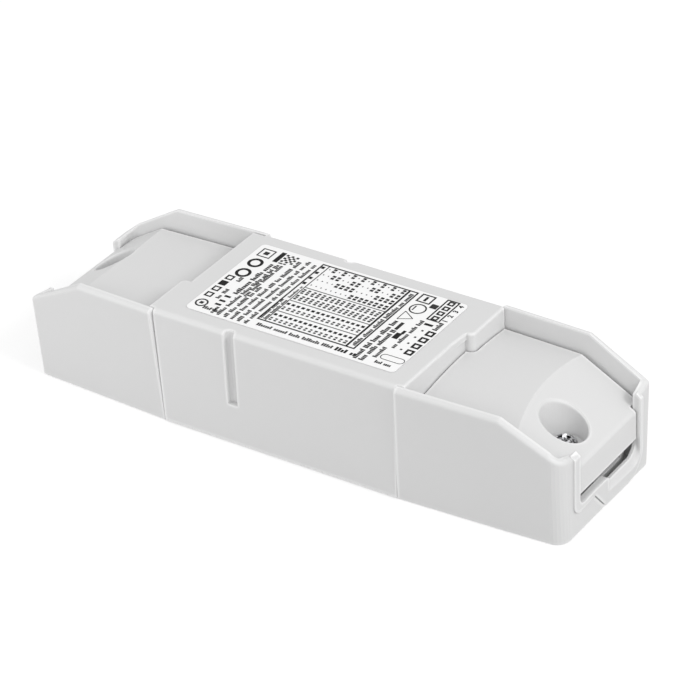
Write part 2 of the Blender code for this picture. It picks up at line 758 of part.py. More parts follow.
def above_crown(end, drop):
    """Everything above the crowned top, as a solid to cut away."""
    half = WIDTH
    count = 16
    ys = [-SIDE + WIDTH * i / count for i in range(count + 1)]
    outline = [(-half, end.crown_z(-SIDE, drop)), *((y, end.crown_z(y, drop)) for y in ys),
               (half, end.crown_z(SIDE, drop)), (half, 2 * HEIGHT), (-half, 2 * HEIGHT)]
    return end.place(end_prism(outline, 0.0, LENGTH))


def above_slope(end, drop, rounding):
    """Everything beyond the sloped flap and its turned-down end, as a solid to cut away."""
    start = 2 * end.fold - HALF
    face = FLAP_FACE - (LID if drop else 0.0)
    tilt = atan(end.slope)
    reach = rounding * tan((pi / 2 - tilt) / 2)
    corner_z = end.slope_z(face, drop)
    outline = [(start, end.slope_z(start, drop))]
    if rounding:
        outline += arc(face - rounding, corner_z - reach, rounding, 1 - tilt * 2 / pi, 0, 5)
    else:
        outline += [(face, corner_z)]
    outline += [(face, 0.0), (LENGTH, 0.0), (LENGTH, 2 * HEIGHT), (start, 2 * HEIGHT)]
    return end.place(side_prism(outline, -WIDTH, WIDTH))


def under_skirt(end):
    """Everything under the skirt's foot, back to the inner face of the flap."""
    bend = end.fold + SKIRT_BEND
    back = FLAP_FACE - LID
    outline = [(0.0, SKIRT_FOOT), (bend, SKIRT_FOOT), (back, SKIRT_FOOT - end.slope * (back - bend)),
               (back, 0.0), (0.0, 0.0)]
    return end.place(side_prism(outline, -WIDTH, WIDTH))


def well_bore(end):
    """The screw well: a tapered bore whose rounded rim follows the slope."""
    radius = end.well_radius
    rings = [[(px, py, WELL_FLOOR) for px, py in circle(end.well_x, end.well_y, radius - WELL_DRAFT, 40)]]
    levels = [(radius + RIM_ROUND - RIM_ROUND * cos(a), RIM_ROUND - RIM_ROUND * sin(a))
              for a in (i * pi / 8 for i in range(4))]
    levels += [(radius + RIM_ROUND, -LID)]
    for level_radius, drop in levels:
        rings.append([(px, py, end.slope_z(px, drop))
                      for px, py in circle(end.well_x, end.well_y, level_radius, 40)])
    return end.place(loft(rings))


def build_terminal_cover(name, end, mat):
    lid = make_object(name, end.place(prism(lid_outline(end, 0.0), FLAP_FOOT, HEIGHT)), mat)
    hollow = combine(lid, end.place(prism(lid_outline(end, SKIRT), 0.0, HEIGHT)), "DIFFERENCE")
    cut(hollow, above_crown(end, LID), above_slope(end, LID / cos(atan(end.slope)), 0.0))
    cut(lid, under_skirt(end))
    x, y = well_axis(end)
    join(lid, rod(x, y, WELL_FLOOR - WELL_BASE, end.lid_top, end.well_radius + WELL_WALL, 40))
    cut(lid, above_crown(end, 0.0), above_slope(end, 0.0, FLAP_ROUND), well_bore(end))
    cut(lid, rod(x, y, 0.0, HEIGHT, BORE_RADIUS, 20))
    return lid


def cross_recess(top):
    """A cross-shaped driver recess that narrows as it goes down."""
    half_width = 0.0004
    depth = HEAD_HEIGHT * 0.6
    parts = []
    for turn in (False, True):
        rings = []
        for z, reach in ((top - depth, HEAD_RADIUS * 0.25), (top + GAP, HEAD_RADIUS * 0.62)):
            a, b = (half_width, reach) if turn else (reach, half_width)
            rings.append([(-a, -b, z), (a, -b, z), (a, b, z), (-a, b, z)])
        parts.append(loft(rings))
    return parts


def build_cover_screw(name, end, mat):
    """A pan-head screw, built standing on its tip."""
    seat = SHANK_LENGTH
    top = seat + HEAD_HEIGHT
    profile = [(0.0004, 0.0), (SHANK_RADIUS, SHANK_RADIUS), (SHANK_RADIUS, seat),
               (HEAD_RADIUS, seat), (HEAD_RADIUS, seat + HEAD_HEIGHT * 0.45),
               (HEAD_RADIUS * 0.92, seat + HEAD_HEIGHT * 0.75),
               (HEAD_RADIUS * 0.70, seat + HEAD_HEIGHT * 0.94), (HEAD_RADIUS * 0.35, top)]
    screw = make_object(name, turned(profile), mat)
    screw.location = (*well_axis(end), SHANK_FOOT)
    cut(screw, *cross_recess(top))
    return screw


def build_label(mat):
    x0 = -INPUT.seam_near + LABEL_INPUT_GAP
    x1 = OUTPUT.seam_near - LABEL_OUTPUT_GAP
    half_length = (x1 - x0) / 2
    half_width = SIDE - LABEL_MARGIN
    outline = rounded(-half_length, half_length, -half_width, half_width, LABEL_CORNER)
    label = make_object("rating_label", prism(outline, 0.0, LABEL_THICKNESS), mat)
    label.location = ((x0 + x1) / 2, 0.0, HEIGHT + LABEL_GAP)
    return label


# Circuit board

ALONG = BOARD_LENGTH / PLAN_LENGTH
ACROSS = BOARD_WIDTH / PLAN_WIDTH
FIT = min(ALONG, ACROSS, (HEIGHT - DECK - SEAT) / PLAN_ROOM)


def on_plan(x, y):
    """A place on the component plan, spread over the real board."""
    return x * ALONG, y * ACROSS


def fit_part(name, mesh, mat, spot, dx=0.0, dy=0.0, dz=0.0):
    """A component built about its own origin, set on the board at a spot and an offset from it."""
    obj = make_object(name, mesh, mat)
    obj.scale = (FIT, FIT, FIT)
    obj.location = (spot[0] + dx * FIT, spot[1] + dy * FIT, SEAT + dz * FIT)
    return obj


def build_board(mat):
    board = make_object("circuit_board", block(0.0, 0.0, 0.0, BOARD_LENGTH, BOARD_WIDTH, BOARD), mat)
    board.location = (0.0, 0.0, BOARD_FOOT)
    for x in (-PIN_X, PIN_X):
        for y in (-PIN_Y, PIN_Y):
            cut(board, rod(x, y, -GAP, BOARD + GAP, PIN_RADIUS + GAP, 16))
    return board


def pole_offsets(poles, pitch):
    return [(i - (poles - 1) / 2) * pitch for i in range(poles)]


def build_terminal(name, end, poles, center, materials):
    """A screw terminal: a housing, and a clamping screw over a wire cage in each pole."""
    body_mat, screw_mat, cage_mat = materials
    middle = end.spot(BOARD_LENGTH / 2 - (TERMINAL_INSET + TERMINAL_DEPTH / 2) * FIT, center * ACROSS)
    width = POLE * poles + 2 * TERMINAL_WALL
    body = fit_part(name, block(0.0, 0.0, 0.0, TERMINAL_DEPTH, width, TERMINAL_HEIGHT), body_mat, middle)
    room = POLE - TERMINAL_WALL
    room_top = WIRE_HEIGHT + WIRE_RADIUS + 2 * TERMINAL_WALL
    for number, offset in enumerate(pole_offsets(poles, POLE), 1):
        wire_way = end_prism(circle(offset, WIRE_HEIGHT, WIRE_RADIUS + GAP, 20), 0.0, TERMINAL_DEPTH)
        screw_way = rod(0.0, offset, WIRE_HEIGHT, 2 * TERMINAL_HEIGHT, CLAMP_SCREW_RADIUS + GAP, 20)
        cut(body, end.place(block(0.0, offset, -GAP, room, room, room_top + GAP)),
            end.place(wire_way), end.place(screw_way))
        dx, dy = end.spot(0.0, offset)
        screw = fit_part(f"{name}_screw_{number}",
                         rod(0.0, 0.0, 0.0, CLAMP_SCREW_LENGTH, CLAMP_SCREW_RADIUS, 20), screw_mat,
                         middle, dx, dy, TERMINAL_HEIGHT - CLAMP_SCREW_SINK - CLAMP_SCREW_LENGTH)
        cut(screw, block(0.0, 0.0, CLAMP_SCREW_LENGTH - CLAMP_SLOT_DEPTH,
                         3 * CLAMP_SCREW_RADIUS, CLAMP_SLOT, 2 * CLAMP_SLOT_DEPTH))
        outer = room - 2 * GAP
        cage = fit_part(f"{name}_cage_{number}", block(0.0, 0.0, 0.0, outer, outer, room_top - GAP), cage_mat,
                        middle, dx, dy)
        cut(cage, block(0.0, 0.0, WIRE_HEIGHT - WIRE_RADIUS, 2 * POLE, 2 * WIRE_RADIUS, 2 * WIRE_RADIUS),
            rod(0.0, 0.0, WIRE_HEIGHT, TERMINAL_HEIGHT, CLAMP_SCREW_RADIUS * 0.7, 16))
    return body


def build_selector(body_mat, slider_mat):
    """The four-way selector: a body with one slot and one slider for each position."""
    middle = (BOARD_LENGTH / 2 - (TERMINAL_INSET + SELECTOR_LENGTH / 2) * FIT, SELECTOR_Y * ACROSS)
    width = SELECTOR_PITCH * SELECTOR_POLES + SLIDER_LENGTH
    body = fit_part("selector_body", block(0.0, 0.0, 0.0, SELECTOR_LENGTH, width, SELECTOR_HEIGHT),
                    body_mat, middle)
    slider_foot = SELECTOR_HEIGHT + SLIDER_PROUD - SLIDER_HEIGHT
    for number, offset in enumerate(pole_offsets(SELECTOR_POLES, SELECTOR_PITCH), 1):
        cut(body, block(0.0, offset, slider_foot - GAP, SLIDER_TRAVEL + SLIDER_LENGTH + 2 * GAP,
                        SLIDER_WIDTH + 2 * GAP, SELECTOR_HEIGHT))
        slider = block(0.0, 0.0, 0.0, SLIDER_LENGTH, SLIDER_WIDTH, SLIDER_HEIGHT)
        fit_part(f"selector_slider_{number}", slider, slider_mat, middle,
                 -SLIDER_TRAVEL / 2, offset, slider_foot)
    return body


def build_fuse(spot, mat):
    """A round radial fuse with softened edges."""
    radius, height, edge = 0.0042, 0.0078, 0.0004
    return fit_part("fuse", turned([(radius - edge / 2, 0.0), (radius, edge), (radius, height - edge),
                                    (radius - edge, height)], 24), mat, spot)


def build_electrolytic(name, spot, radius, height, mat):
    """A standing can with a rolled groove near its foot and a rounded crimped top."""
    profile = [(radius * 0.92, 0.0), (radius, radius * 0.10), (radius, height * 0.12),
               (radius * 0.90, height * 0.15), (radius, height * 0.18),
               (radius, height * 0.95), (radius * 0.93, height)]
    return fit_part(name, turned(profile, 28), mat, spot)


def build_disc(name, spot, radius, thickness, mat):
    """A round disc part standing on its edge, facing along X."""
    rings = []
    for share, size in ((-1.0, 0.82), (-0.55, 1.0), (0.55, 1.0), (1.0, 0.82)):
        x = share * thickness / 2
        rings.append([(x, y * size, radius + z * size) for y, z in circle(0.0, 0.0, radius, 28)])
    return fit_part(name, loft(rings), mat, spot)


def build_block(name, spot, length, width, height, mat, radius):
    outline = rounded(-length / 2, length / 2, -width / 2, width / 2, radius, 3)
    return fit_part(name, prism(outline, 0.0, height), mat, spot)


def sleeve(length, width, height, radius):
    """A rounded rectangular block, to be wound round a core once its hole is cut."""
    return prism(rounded(-length / 2, length / 2, -width / 2, width / 2, radius), 0.0, height)


def build_choke(spot, mats):
    """The line choke: a closed ferrite frame on a plastic foot, with a coil on each upright."""
    core_mat, foot_mat, coil_mat = mats
    span, rise, depth, leg = 0.0150, 0.0130, 0.0042, 0.0030
    foot_height, foot_margin, coil_margin = 0.0016, 0.0020, 0.0019
    foot = fit_part("line_choke_foot", block(0.0, 0.0, 0.0, depth + 2 * foot_margin, span + 1.5 * foot_margin,
                                             foot_height), foot_mat, spot)
    lift = foot_height + GAP
    core = fit_part("line_choke_core", block(0.0, 0.0, 0.0, depth, span, rise), core_mat, spot, dz=lift)
    cut(core, block(0.0, 0.0, leg, 2 * depth, span - 2 * leg, rise - 2 * leg))
    coil_height = rise - 2 * leg - 2 * GAP
    for number, side in enumerate((-1, 1), 1):
        coil = fit_part(f"line_choke_coil_{number}",
                        sleeve(depth + 2 * coil_margin, leg + 2 * coil_margin, coil_height, 0.0012),
                        coil_mat, spot, dy=side * (span - leg) / 2, dz=lift + leg + GAP)
        cut(coil, block(0.0, 0.0, -GAP, depth + 2 * GAP, leg + 2 * GAP, coil_height + 2 * GAP))
    return foot, core


def build_transformer(spot, mats):
    """The transformer: a ferrite core with two windows, a flanged bobbin and the wound coil."""
    core_mat, bobbin_mat, coil_mat = mats
    length, depth, height, yoke, center_leg = 0.0220, 0.0068, 0.0176, 0.0030, 0.0066
    lift, flange, flange_width, tube, foot_width = 0.0022, 0.0008, 0.0176, 0.0007, 0.0040
    window = (length - center_leg - 2 * yoke) / 2
    window_height = height - 2 * yoke
    core = fit_part("transformer_core", block(0.0, 0.0, 0.0, length, depth, height), core_mat, spot, dz=lift)
    for side in (-1, 1):
        cut(core, block(side * (center_leg + window) / 2, 0.0, yoke, window, 2 * depth, window_height))
    reach = window * 2 + center_leg - 4 * GAP
    foot = lift + yoke + GAP
    rise = window_height - 2 * GAP
    tube_length = center_leg + 2 * (GAP + tube)
    tube_width = depth + 2 * (GAP + tube)
    bobbin = fit_part("transformer_bobbin", block(0.0, 0.0, foot, reach, flange_width, flange),
                      bobbin_mat, spot)
    join(bobbin, block(0.0, 0.0, foot + rise - flange, reach, flange_width, flange),
         block(0.0, 0.0, foot + flange / 2, tube_length, tube_width, rise - flange))
    for side in (-1, 1):
        join(bobbin, block(0.0, side * (flange_width - foot_width) / 2, 0.0, reach, foot_width,
                           foot + flange / 2))
    cut(bobbin, block(0.0, 0.0, 0.0, center_leg + 2 * GAP, depth + 2 * GAP, height))
    coil_height = rise - 2 * flange - 2 * GAP
    winding = fit_part("transformer_winding",
                       sleeve(reach - 2 * GAP, flange_width - 2 * flange + 2 * GAP, coil_height, 0.0022),
                       coil_mat, spot, dz=foot + flange + GAP)
    cut(winding, block(0.0, 0.0, -GAP, tube_length + 2 * GAP, tube_width + 2 * GAP, coil_height + 2 * GAP))
    return core, bobbin, winding


def build_inductor(spot, height, mats):
    """The output inductor: a drum core with its coil between the flanges."""
    core_mat, coil_mat = mats
    radius, waist, flange = 0.0050, 0.0022, 0.0013
    profile = [(radius, 0.0), (radius, flange), (waist, flange),
               (waist, height - flange), (radius, height - flange), (radius, height)]
    fit_part("output_inductor_core", turned(profile, 24), core_mat, spot)
    coil_height = height - 2 * flange - 2 * GAP
    coil = fit_part("output_inductor_coil", rod(0.0, 0.0, 0.0, coil_height, radius - GAP, 24),
                    coil_mat, spot, dz=flange + GAP)
    cut(coil, rod(0.0, 0.0, -GAP, height, waist + GAP, 24))
    return coil


def build_transistor(spot, mats):
    """The switching transistor with its tab against a finned aluminium plate."""
    case_mat, metal_mat = mats
    plate_length, plate, plate_height = 0.0160, 0.0018, 0.0180
    fin, fin_thickness, fin_pitch = 0.0016, 0.0009, 0.0032
    case_length, case, case_height, shoulder, tab = 0.0100, 0.0044, 0.0150, 0.0045, 0.0016
    sink = fit_part("transistor_heatsink", block(0.0, 0.0, 0.0, plate_length, plate, plate_height),
                    metal_mat, spot)
    for i in range(5):
        fin_x = (i - 2) * fin_pitch
        join(sink, block(fin_x, plate / 2 + fin / 2 - GAP, 0.0, fin_thickness, fin, plate_height))
    outline = [(-case / 2, 0.0), (case / 2, 0.0), (case / 2, case_height),
               (tab - case / 2, case_height), (-case / 2, case_height - shoulder)]
    return fit_part("switch_transistor", end_prism(outline, -case_length / 2, case_length / 2), case_mat,
                    spot, dy=-plate / 2 - GAP - case / 2)


def main():
    clear_scene()
    white = plastic("white_housing", (0.80, 0.80, 0.80), 0.45)
    label_white = plastic("label_film", (0.93, 0.93, 0.93), 0.35)
    steel = plastic("screw_steel", (0.72, 0.72, 0.72), 0.25, 1.0)
    green = plastic("board_laminate", (0.05, 0.22, 0.10), 0.50)
    grey = plastic("terminal_grey", (0.45, 0.47, 0.48), 0.50)
    brass = plastic("cage_brass", (0.75, 0.60, 0.30), 0.35, 1.0)
    blue = plastic("selector_blue", (0.05, 0.15, 0.45), 0.45)
    cream = plastic("slider_white", (0.90, 0.90, 0.86), 0.45)
    black = plastic("moulded_black", (0.03, 0.03, 0.03), 0.45)
    ferrite = plastic("ferrite", (0.06, 0.06, 0.065), 0.60)
    copper = plastic("coil_copper", (0.72, 0.30, 0.12), 0.40, 1.0)
    tape = plastic("coil_tape", (0.85, 0.70, 0.15), 0.45)
    sleeve_blue = plastic("can_sleeve", (0.03, 0.04, 0.06), 0.40)
    film = plastic("film_case", (0.75, 0.62, 0.12), 0.45)
    ceramic = plastic("disc_coating", (0.06, 0.18, 0.50), 0.40)
    aluminium = plastic("sink_aluminium", (0.78, 0.78, 0.80), 0.35, 1.0)

    build_base(white)
    build_center_cover(white)
    build_terminal_cover("output_cover", OUTPUT, white)
    build_terminal_cover("input_cover", INPUT, white)
    build_cover_screw("output_cover_screw", OUTPUT, steel)
    build_cover_screw("input_cover_screw", INPUT, steel)
    build_label(label_white)

    build_board(green)
    build_terminal("input_terminal", INPUT, INPUT_POLES, 0.0, (grey, steel, brass))
    build_terminal("output_terminal", OUTPUT, OUTPUT_POLES, OUTPUT_TERMINAL_Y, (grey, steel, brass))
    build_selector(blue, cream)

    low = APRON_FOOT - SEAT - APRON_ROOM
    build_disc("surge_varistor", on_plan(-0.0320, 0.0090), 0.0050, 0.0038, ceramic)
    build_fuse(on_plan(-0.0310, -0.0100), black)
    build_block("suppression_capacitor", on_plan(-0.0235, 0.0), 0.0060, 0.0130, 0.0120, film, 0.0006)
    build_choke(on_plan(-0.0140, 0.0), (ferrite, black, copper))
    build_block("bridge_rectifier", on_plan(-0.0180, -0.0130), 0.0065, 0.0050, 0.0060, black, 0.0003)
    build_electrolytic("bulk_capacitor", on_plan(-0.0055, -0.0128), 0.0050, 0.0190, sleeve_blue)
    build_transistor(on_plan(-0.0060, 0.0156), (black, aluminium))
    build_block("controller_chip", on_plan(-0.0050, 0.0020), 0.0040, 0.0050, 0.0016, black, 0.0002)
    build_transformer(on_plan(0.0110, 0.0020), (ferrite, black, tape))
    build_disc("safety_capacitor", on_plan(0.0060, -0.0135), 0.0038, 0.0032, ceramic)
    build_block("output_diode", on_plan(0.0130, 0.0150), 0.0090, 0.0040, 0.0100, black, 0.0003)
    build_electrolytic("output_capacitor_1", on_plan(0.0180, -0.0130), 0.0040, 0.0150, sleeve_blue)
    build_electrolytic("output_capacitor_2", on_plan(0.0330, -0.0115), 0.0040, low, sleeve_blue)
    build_inductor(on_plan(0.0290, 0.0040), low - APRON_ROOM, (ferrite, copper))


main()
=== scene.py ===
import json
import math
import random

import bmesh
import bpy
from mathutils import Euler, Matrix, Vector


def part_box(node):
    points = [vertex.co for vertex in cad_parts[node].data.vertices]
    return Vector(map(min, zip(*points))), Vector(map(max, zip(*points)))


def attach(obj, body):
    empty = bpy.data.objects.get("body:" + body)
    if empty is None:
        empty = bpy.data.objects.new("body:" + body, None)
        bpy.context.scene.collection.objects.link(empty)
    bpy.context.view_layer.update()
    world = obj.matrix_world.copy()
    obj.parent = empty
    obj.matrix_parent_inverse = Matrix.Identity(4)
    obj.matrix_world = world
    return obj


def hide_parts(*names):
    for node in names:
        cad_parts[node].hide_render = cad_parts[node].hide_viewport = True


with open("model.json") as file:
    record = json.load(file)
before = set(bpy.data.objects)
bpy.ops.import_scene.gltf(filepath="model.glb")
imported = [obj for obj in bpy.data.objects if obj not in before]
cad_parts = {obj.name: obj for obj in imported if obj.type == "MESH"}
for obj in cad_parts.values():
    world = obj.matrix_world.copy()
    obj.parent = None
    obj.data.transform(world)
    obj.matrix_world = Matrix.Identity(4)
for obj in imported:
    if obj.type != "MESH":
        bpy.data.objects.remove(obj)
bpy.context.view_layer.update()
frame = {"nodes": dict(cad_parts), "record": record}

MM = 0.001

# Camera, fitted to the housing's outline in the photograph
CAMERA_PLACE = (0.398203, -0.555743, 0.456424)
CAMERA_TURN = (1.004244, 0.051061, 0.586466)
CAMERA_LENS = 177.887
CAMERA_SENSOR = 36.0
FAR_CLIP = 20.0

# Studio light: where each lamp stands and aims, its diameter in metres and its power in watts
WORLD_STRENGTH = 0.758
LAMP_AIM = (0.0, 0.0, 0.015)
KEY_PLACE = (1.02, -0.09, 0.80)
KEY_SIZE = 0.50
KEY_POWER = 5.0
FRONT_PLACE = (0.56, -0.98, 0.65)
FRONT_SIZE = 0.50
FRONT_POWER = 1.9
FILL_PLACE = (-0.14, -0.18, 0.04)
FILL_AIM = (-0.04, -0.02, 0.015)
FILL_SIZE = 0.12
FILL_POWER = 0.078

# Floor: half its side, its gap below the part, the length up to which a ray passes it, its grey,
# and the light added to it where the camera or a reflection sees it
FLOOR_SIZE = 3.0
FLOOR_GAP = 0.0001
FLOOR_NEAR = 0.0004
FLOOR_WHITE = 0.55
FLOOR_LIFT = 0.52


def add_camera():
    data = bpy.data.cameras.new("camera")
    data.lens = CAMERA_LENS
    data.sensor_width = CAMERA_SENSOR
    data.clip_end = FAR_CLIP
    camera = bpy.data.objects.new("camera", data)
    camera.location = CAMERA_PLACE
    camera.rotation_euler = Euler(CAMERA_TURN)
    bpy.context.collection.objects.link(camera)
    bpy.context.scene.camera = camera


add_camera()


# Materials. The housing's corners are softened, its outer edges lighter with a painted highlight and
# its tight corners darker with a painted shade.

EDGE_SOFTNESS = 0.00025
# Painted highlight on outer edges: how far in it reaches, its gain and its colour
HIGHLIGHT_REACH = 0.00085
HIGHLIGHT_GAIN = 2.0
PAINTED_HIGHLIGHT_WHITE = (0.93, 0.93, 0.93, 1.0)
# Painted shade in tight corners: how far out it reaches, its gain and its grey
SHADE_REACH = 0.0008
SHADE_GAIN = 0.65
PAINTED_SHADE_GREY = (0.42, 0.42, 0.42, 1.0)
SHADING_SAMPLES = 6
RELIEF_STRENGTH = 0.3
RELIEF_DETAIL = 2.0
PATCH_DETAIL = 4.0
GLOSS_VARY = 0.04


def new_material(name):
    mat = bpy.data.materials.new(name)
    mat.use_nodes = True
    return mat, mat.node_tree, mat.node_tree.nodes["Principled BSDF"]


def feed(tree, socket, value):
    """Link another node's output to a socket, or set a constant on it."""
    if isinstance(value, bpy.types.NodeSocket):
        tree.links.new(value, socket)
    else:
        socket.default_value = value


def noise(tree, scale, detail):
    coords = tree.nodes.new("ShaderNodeTexCoord")
    tex = tree.nodes.new("ShaderNodeTexNoise")
    tex.inputs["Scale"].default_value = scale
    tex.inputs["Detail"].default_value = detail
    tree.links.new(coords.outputs["Object"], tex.inputs["Vector"])
    return tex.outputs["Fac"]


def color_between(tree, factor, low, high):
    """A mix of two colours, each a constant or another node's output."""
    mix = tree.nodes.new("ShaderNodeMix")
    mix.data_type = "RGBA"
    for place, value in ((0, factor), (6, low), (7, high)):
        feed(tree, mix.inputs[place], value)
    return mix.outputs[2]


def value_between(tree, factor, low, high, spread=1.0):
    """A factor mapped to a range; a spread above 1 uses only its middle part."""
    span = tree.nodes.new("ShaderNodeMapRange")
    tree.links.new(factor, span.inputs["Value"])
    span.inputs["From Min"].default_value = 0.5 - 0.5 / spread
    span.inputs["From Max"].default_value = 0.5 + 0.5 / spread
    span.inputs["To Min"].default_value = low
    span.inputs["To Max"].default_value = high
    return span.outputs["Result"]


def relief_normal(tree, shader, height, distance, soften):
    """Fine relief, over corners that are softened by a small radius."""
    node = tree.nodes.new("ShaderNodeBump")
    node.inputs["Strength"].default_value = RELIEF_STRENGTH
    node.inputs["Distance"].default_value = distance
    tree.links.new(height, node.inputs["Height"])
    if soften:
        edges = tree.nodes.new("ShaderNodeBevel")
        edges.samples = SHADING_SAMPLES
        edges.inputs["Radius"].default_value = soften
        tree.links.new(edges.outputs["Normal"], node.inputs["Normal"])
    tree.links.new(node.outputs["Normal"], shader.inputs["Normal"])


def painted_highlight_mask(tree, reach):
    """A mask for the painted highlight near outer edges: inside the piece, the next face is close
    there.
    """
    node = tree.nodes.new("ShaderNodeAmbientOcclusion")
    node.inside = True
    node.only_local = True
    node.samples = SHADING_SAMPLES
    node.inputs["Distance"].default_value = reach
    return value_between(tree, node.outputs["AO"], HIGHLIGHT_GAIN, 0.0)


def painted_shade_mask(tree, reach):
    """A mask for the painted shade in seams, slots and inner corners, where little light gets in."""
    node = tree.nodes.new("ShaderNodeAmbientOcclusion")
    node.samples = SHADING_SAMPLES
    node.inputs["Distance"].default_value = reach
    return value_between(tree, node.outputs["AO"], SHADE_GAIN, 0.0)


def surface(name, color, roughness, metallic=0.0, grain=2500.0, relief=0.00002, vary=0.02,
            patches=60.0, spread=1.0, shine=0.5, soften=0.0, edge_highlight=None):
    """A finish with fine relief, and slight changes of colour and gloss over it.

    grain and patches are the scales of the relief and of the changes. relief and soften are the
    relief's height and the corners' radius in metres, vary is the share by which the colour
    changes, and the last argument is the colour of a painted highlight on outer edges; with it, tight
    corners also get a painted shade.
    """
    mat, tree, shader = new_material(name)
    slow = value_between(tree, noise(tree, patches, PATCH_DETAIL), 0.0, 1.0, spread)
    low = (*(max(c * (1.0 - vary), 0.0) for c in color), 1.0)
    high = (*(min(c * (1.0 + vary), 1.0) for c in color), 1.0)
    base = color_between(tree, slow, low, high)
    if edge_highlight:
        # Painted shade: seams, slots and inner corners darkened toward grey
        base = color_between(tree, painted_shade_mask(tree, SHADE_REACH), base, PAINTED_SHADE_GREY)
        # Painted highlight: outer edges lightened toward a near-white colour
        base = color_between(tree, painted_highlight_mask(tree, HIGHLIGHT_REACH), base, edge_highlight)
    tree.links.new(base, shader.inputs["Base Color"])
    gloss = value_between(tree, slow, roughness - GLOSS_VARY, roughness + GLOSS_VARY)
    tree.links.new(gloss, shader.inputs["Roughness"])
    shader.inputs["Metallic"].default_value = metallic
    shader.inputs["Specular IOR Level"].default_value = shine
    relief_normal(tree, shader, noise(tree, grain, RELIEF_DETAIL), relief, soften)
    return mat


# The housing's white plastic, with a painted highlight on its outer edges and a painted shade in its
# tight corners
WHITE = surface("moulded_white", (0.715, 0.715, 0.715), 0.40, relief=0.000012, vary=0.006,
                soften=EDGE_SOFTNESS, edge_highlight=PAINTED_HIGHLIGHT_WHITE)
# Plated steel whose colour swings in small patches from near black to near white: a painted sparkle
# that stands in for the reflections of its surroundings
STEEL = surface("plated_steel_painted_sparkle", (0.44, 0.44, 0.45), 0.16, 1.0, grain=900.0, relief=0.00008,
                vary=0.95, patches=1500.0, spread=4.0)
FILM = surface("printed_film", (0.96, 0.96, 0.96), 0.35, vary=0.003, relief=0.000004)
INK = {"vary": 0.1, "relief": 0.000003, "shine": 0.12}
BLACK_INK = surface("black_ink", (0.008, 0.008, 0.008), 0.40, **INK)
GREY_INK = surface("grey_ink", (0.03, 0.03, 0.03), 0.45, **INK)

LOOKS = {
    "housing_white": WHITE,
    "screw_steel": STEEL,
    "label_film": FILM,
    "board_laminate": surface("green_laminate", (0.04, 0.20, 0.09), 0.45),
    "terminal_grey": surface("moulded_grey", (0.40, 0.42, 0.43), 0.50),
    "cage_brass": surface("cage_metal", (0.70, 0.55, 0.25), 0.35, 1.0),
    "selector_blue": surface("moulded_blue", (0.04, 0.12, 0.42), 0.45),
    "slider_white": surface("slider_plastic", (0.88, 0.88, 0.84), 0.45),
    "moulded_black": surface("moulded_black", (0.025, 0.025, 0.025), 0.50),
    "ferrite": surface("ferrite_core", (0.05, 0.05, 0.055), 0.65, grain=4000.0),
    "coil_copper": surface("enamelled_wire", (0.65, 0.25, 0.08), 0.35, 1.0),
    "coil_tape": surface("winding_tape", (0.80, 0.62, 0.10), 0.40),
    "can_sleeve": surface("shrink_sleeve", (0.03, 0.04, 0.07), 0.35),
    "film_case": surface("resin_case", (0.72, 0.58, 0.10), 0.30),
    "disc_coating": surface("dipped_coating", (0.05, 0.15, 0.45), 0.35),
    "sink_aluminium": surface("rolled_aluminium", (0.75, 0.75, 0.77), 0.35, 1.0),
}

slots = {row["node"]: row["material_slot"] for row in frame["record"]["subparts"]}
for name, obj in frame["nodes"].items():
    obj.data.materials.clear()
    obj.data.materials.append(LOOKS[slots[name]])


# Pieces

def add_piece(name, mesh, mat, smooth=None):
    """A new piece from a bmesh, riding on the housing."""
    bmesh.ops.recalc_face_normals(mesh, faces=mesh.faces)
    data = bpy.data.meshes.new(name)
    mesh.to_mesh(data)
    mesh.free()
    data.materials.append(mat)
    if smooth:
        data.shade_smooth()
        data.set_sharp_from_angle(angle=smooth)
    piece = bpy.data.objects.new(name, data)
    bpy.context.collection.objects.link(piece)
    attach(piece, "housing")
    return piece


# Label print: plain marks where the photograph has print. Places are in millimetres from the
# label's centre, along the housing and then across it. Most of its lines read across the housing.

LABEL_LOW, LABEL_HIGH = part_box("rating_label")
LABEL_X = (LABEL_LOW[0] + LABEL_HIGH[0]) / 2
LABEL_Y = (LABEL_LOW[1] + LABEL_HIGH[1]) / 2
INK_GAP = 0.00001
INK_THICKNESS = 0.00002
INK_FOOT = LABEL_HIGH[2] + INK_GAP
INK_TOP = INK_FOOT + INK_THICKNESS
PRINT_SEED = 7

# Lines of print: blocks per word, the usual pitch of blocks, the share of tall ones, the low ones'
# height as a share of the tall ones', and how much of its pitch a block fills
WORD_BLOCKS = (3, 9)
WORD_PITCH = 0.62
TALL_SHARE = 0.35
LOW_HEIGHT = 0.68
BLOCK_FILL = 0.76


def solid(mesh, outer, inner=None):
    """A thin flat shape with the given outline, and a hole where an inner outline is given."""
    loops = []
    for outline in (outer, inner) if inner else (outer,):
        for z in (INK_FOOT, INK_TOP):
            loops.append([mesh.verts.new((LABEL_X + x * MM, LABEL_Y + y * MM, z))
                          for x, y in outline])
    count = len(outer)
    pairs = [(loops[0], loops[1])]
    if inner:
        pairs += [(loops[1], loops[3]), (loops[3], loops[2]), (loops[2], loops[0])]
    else:
        mesh.faces.new(loops[0][::-1])
        mesh.faces.new(loops[1])
    for low, high in pairs:
        for i in range(count):
            j = (i + 1) % count
            mesh.faces.new((low[i], low[j], high[j], high[i]))


def rectangle(x, y, along, across):
    return [(x - along / 2, y - across / 2), (x + along / 2, y - across / 2),
            (x + along / 2, y + across / 2), (x - along / 2, y + across / 2)]


def circle(x, y, radius, count=36):
    angles = [2 * math.pi * i / count for i in range(count)]
    return [(x + radius * math.cos(angle), y + radius * math.sin(angle)) for angle in angles]


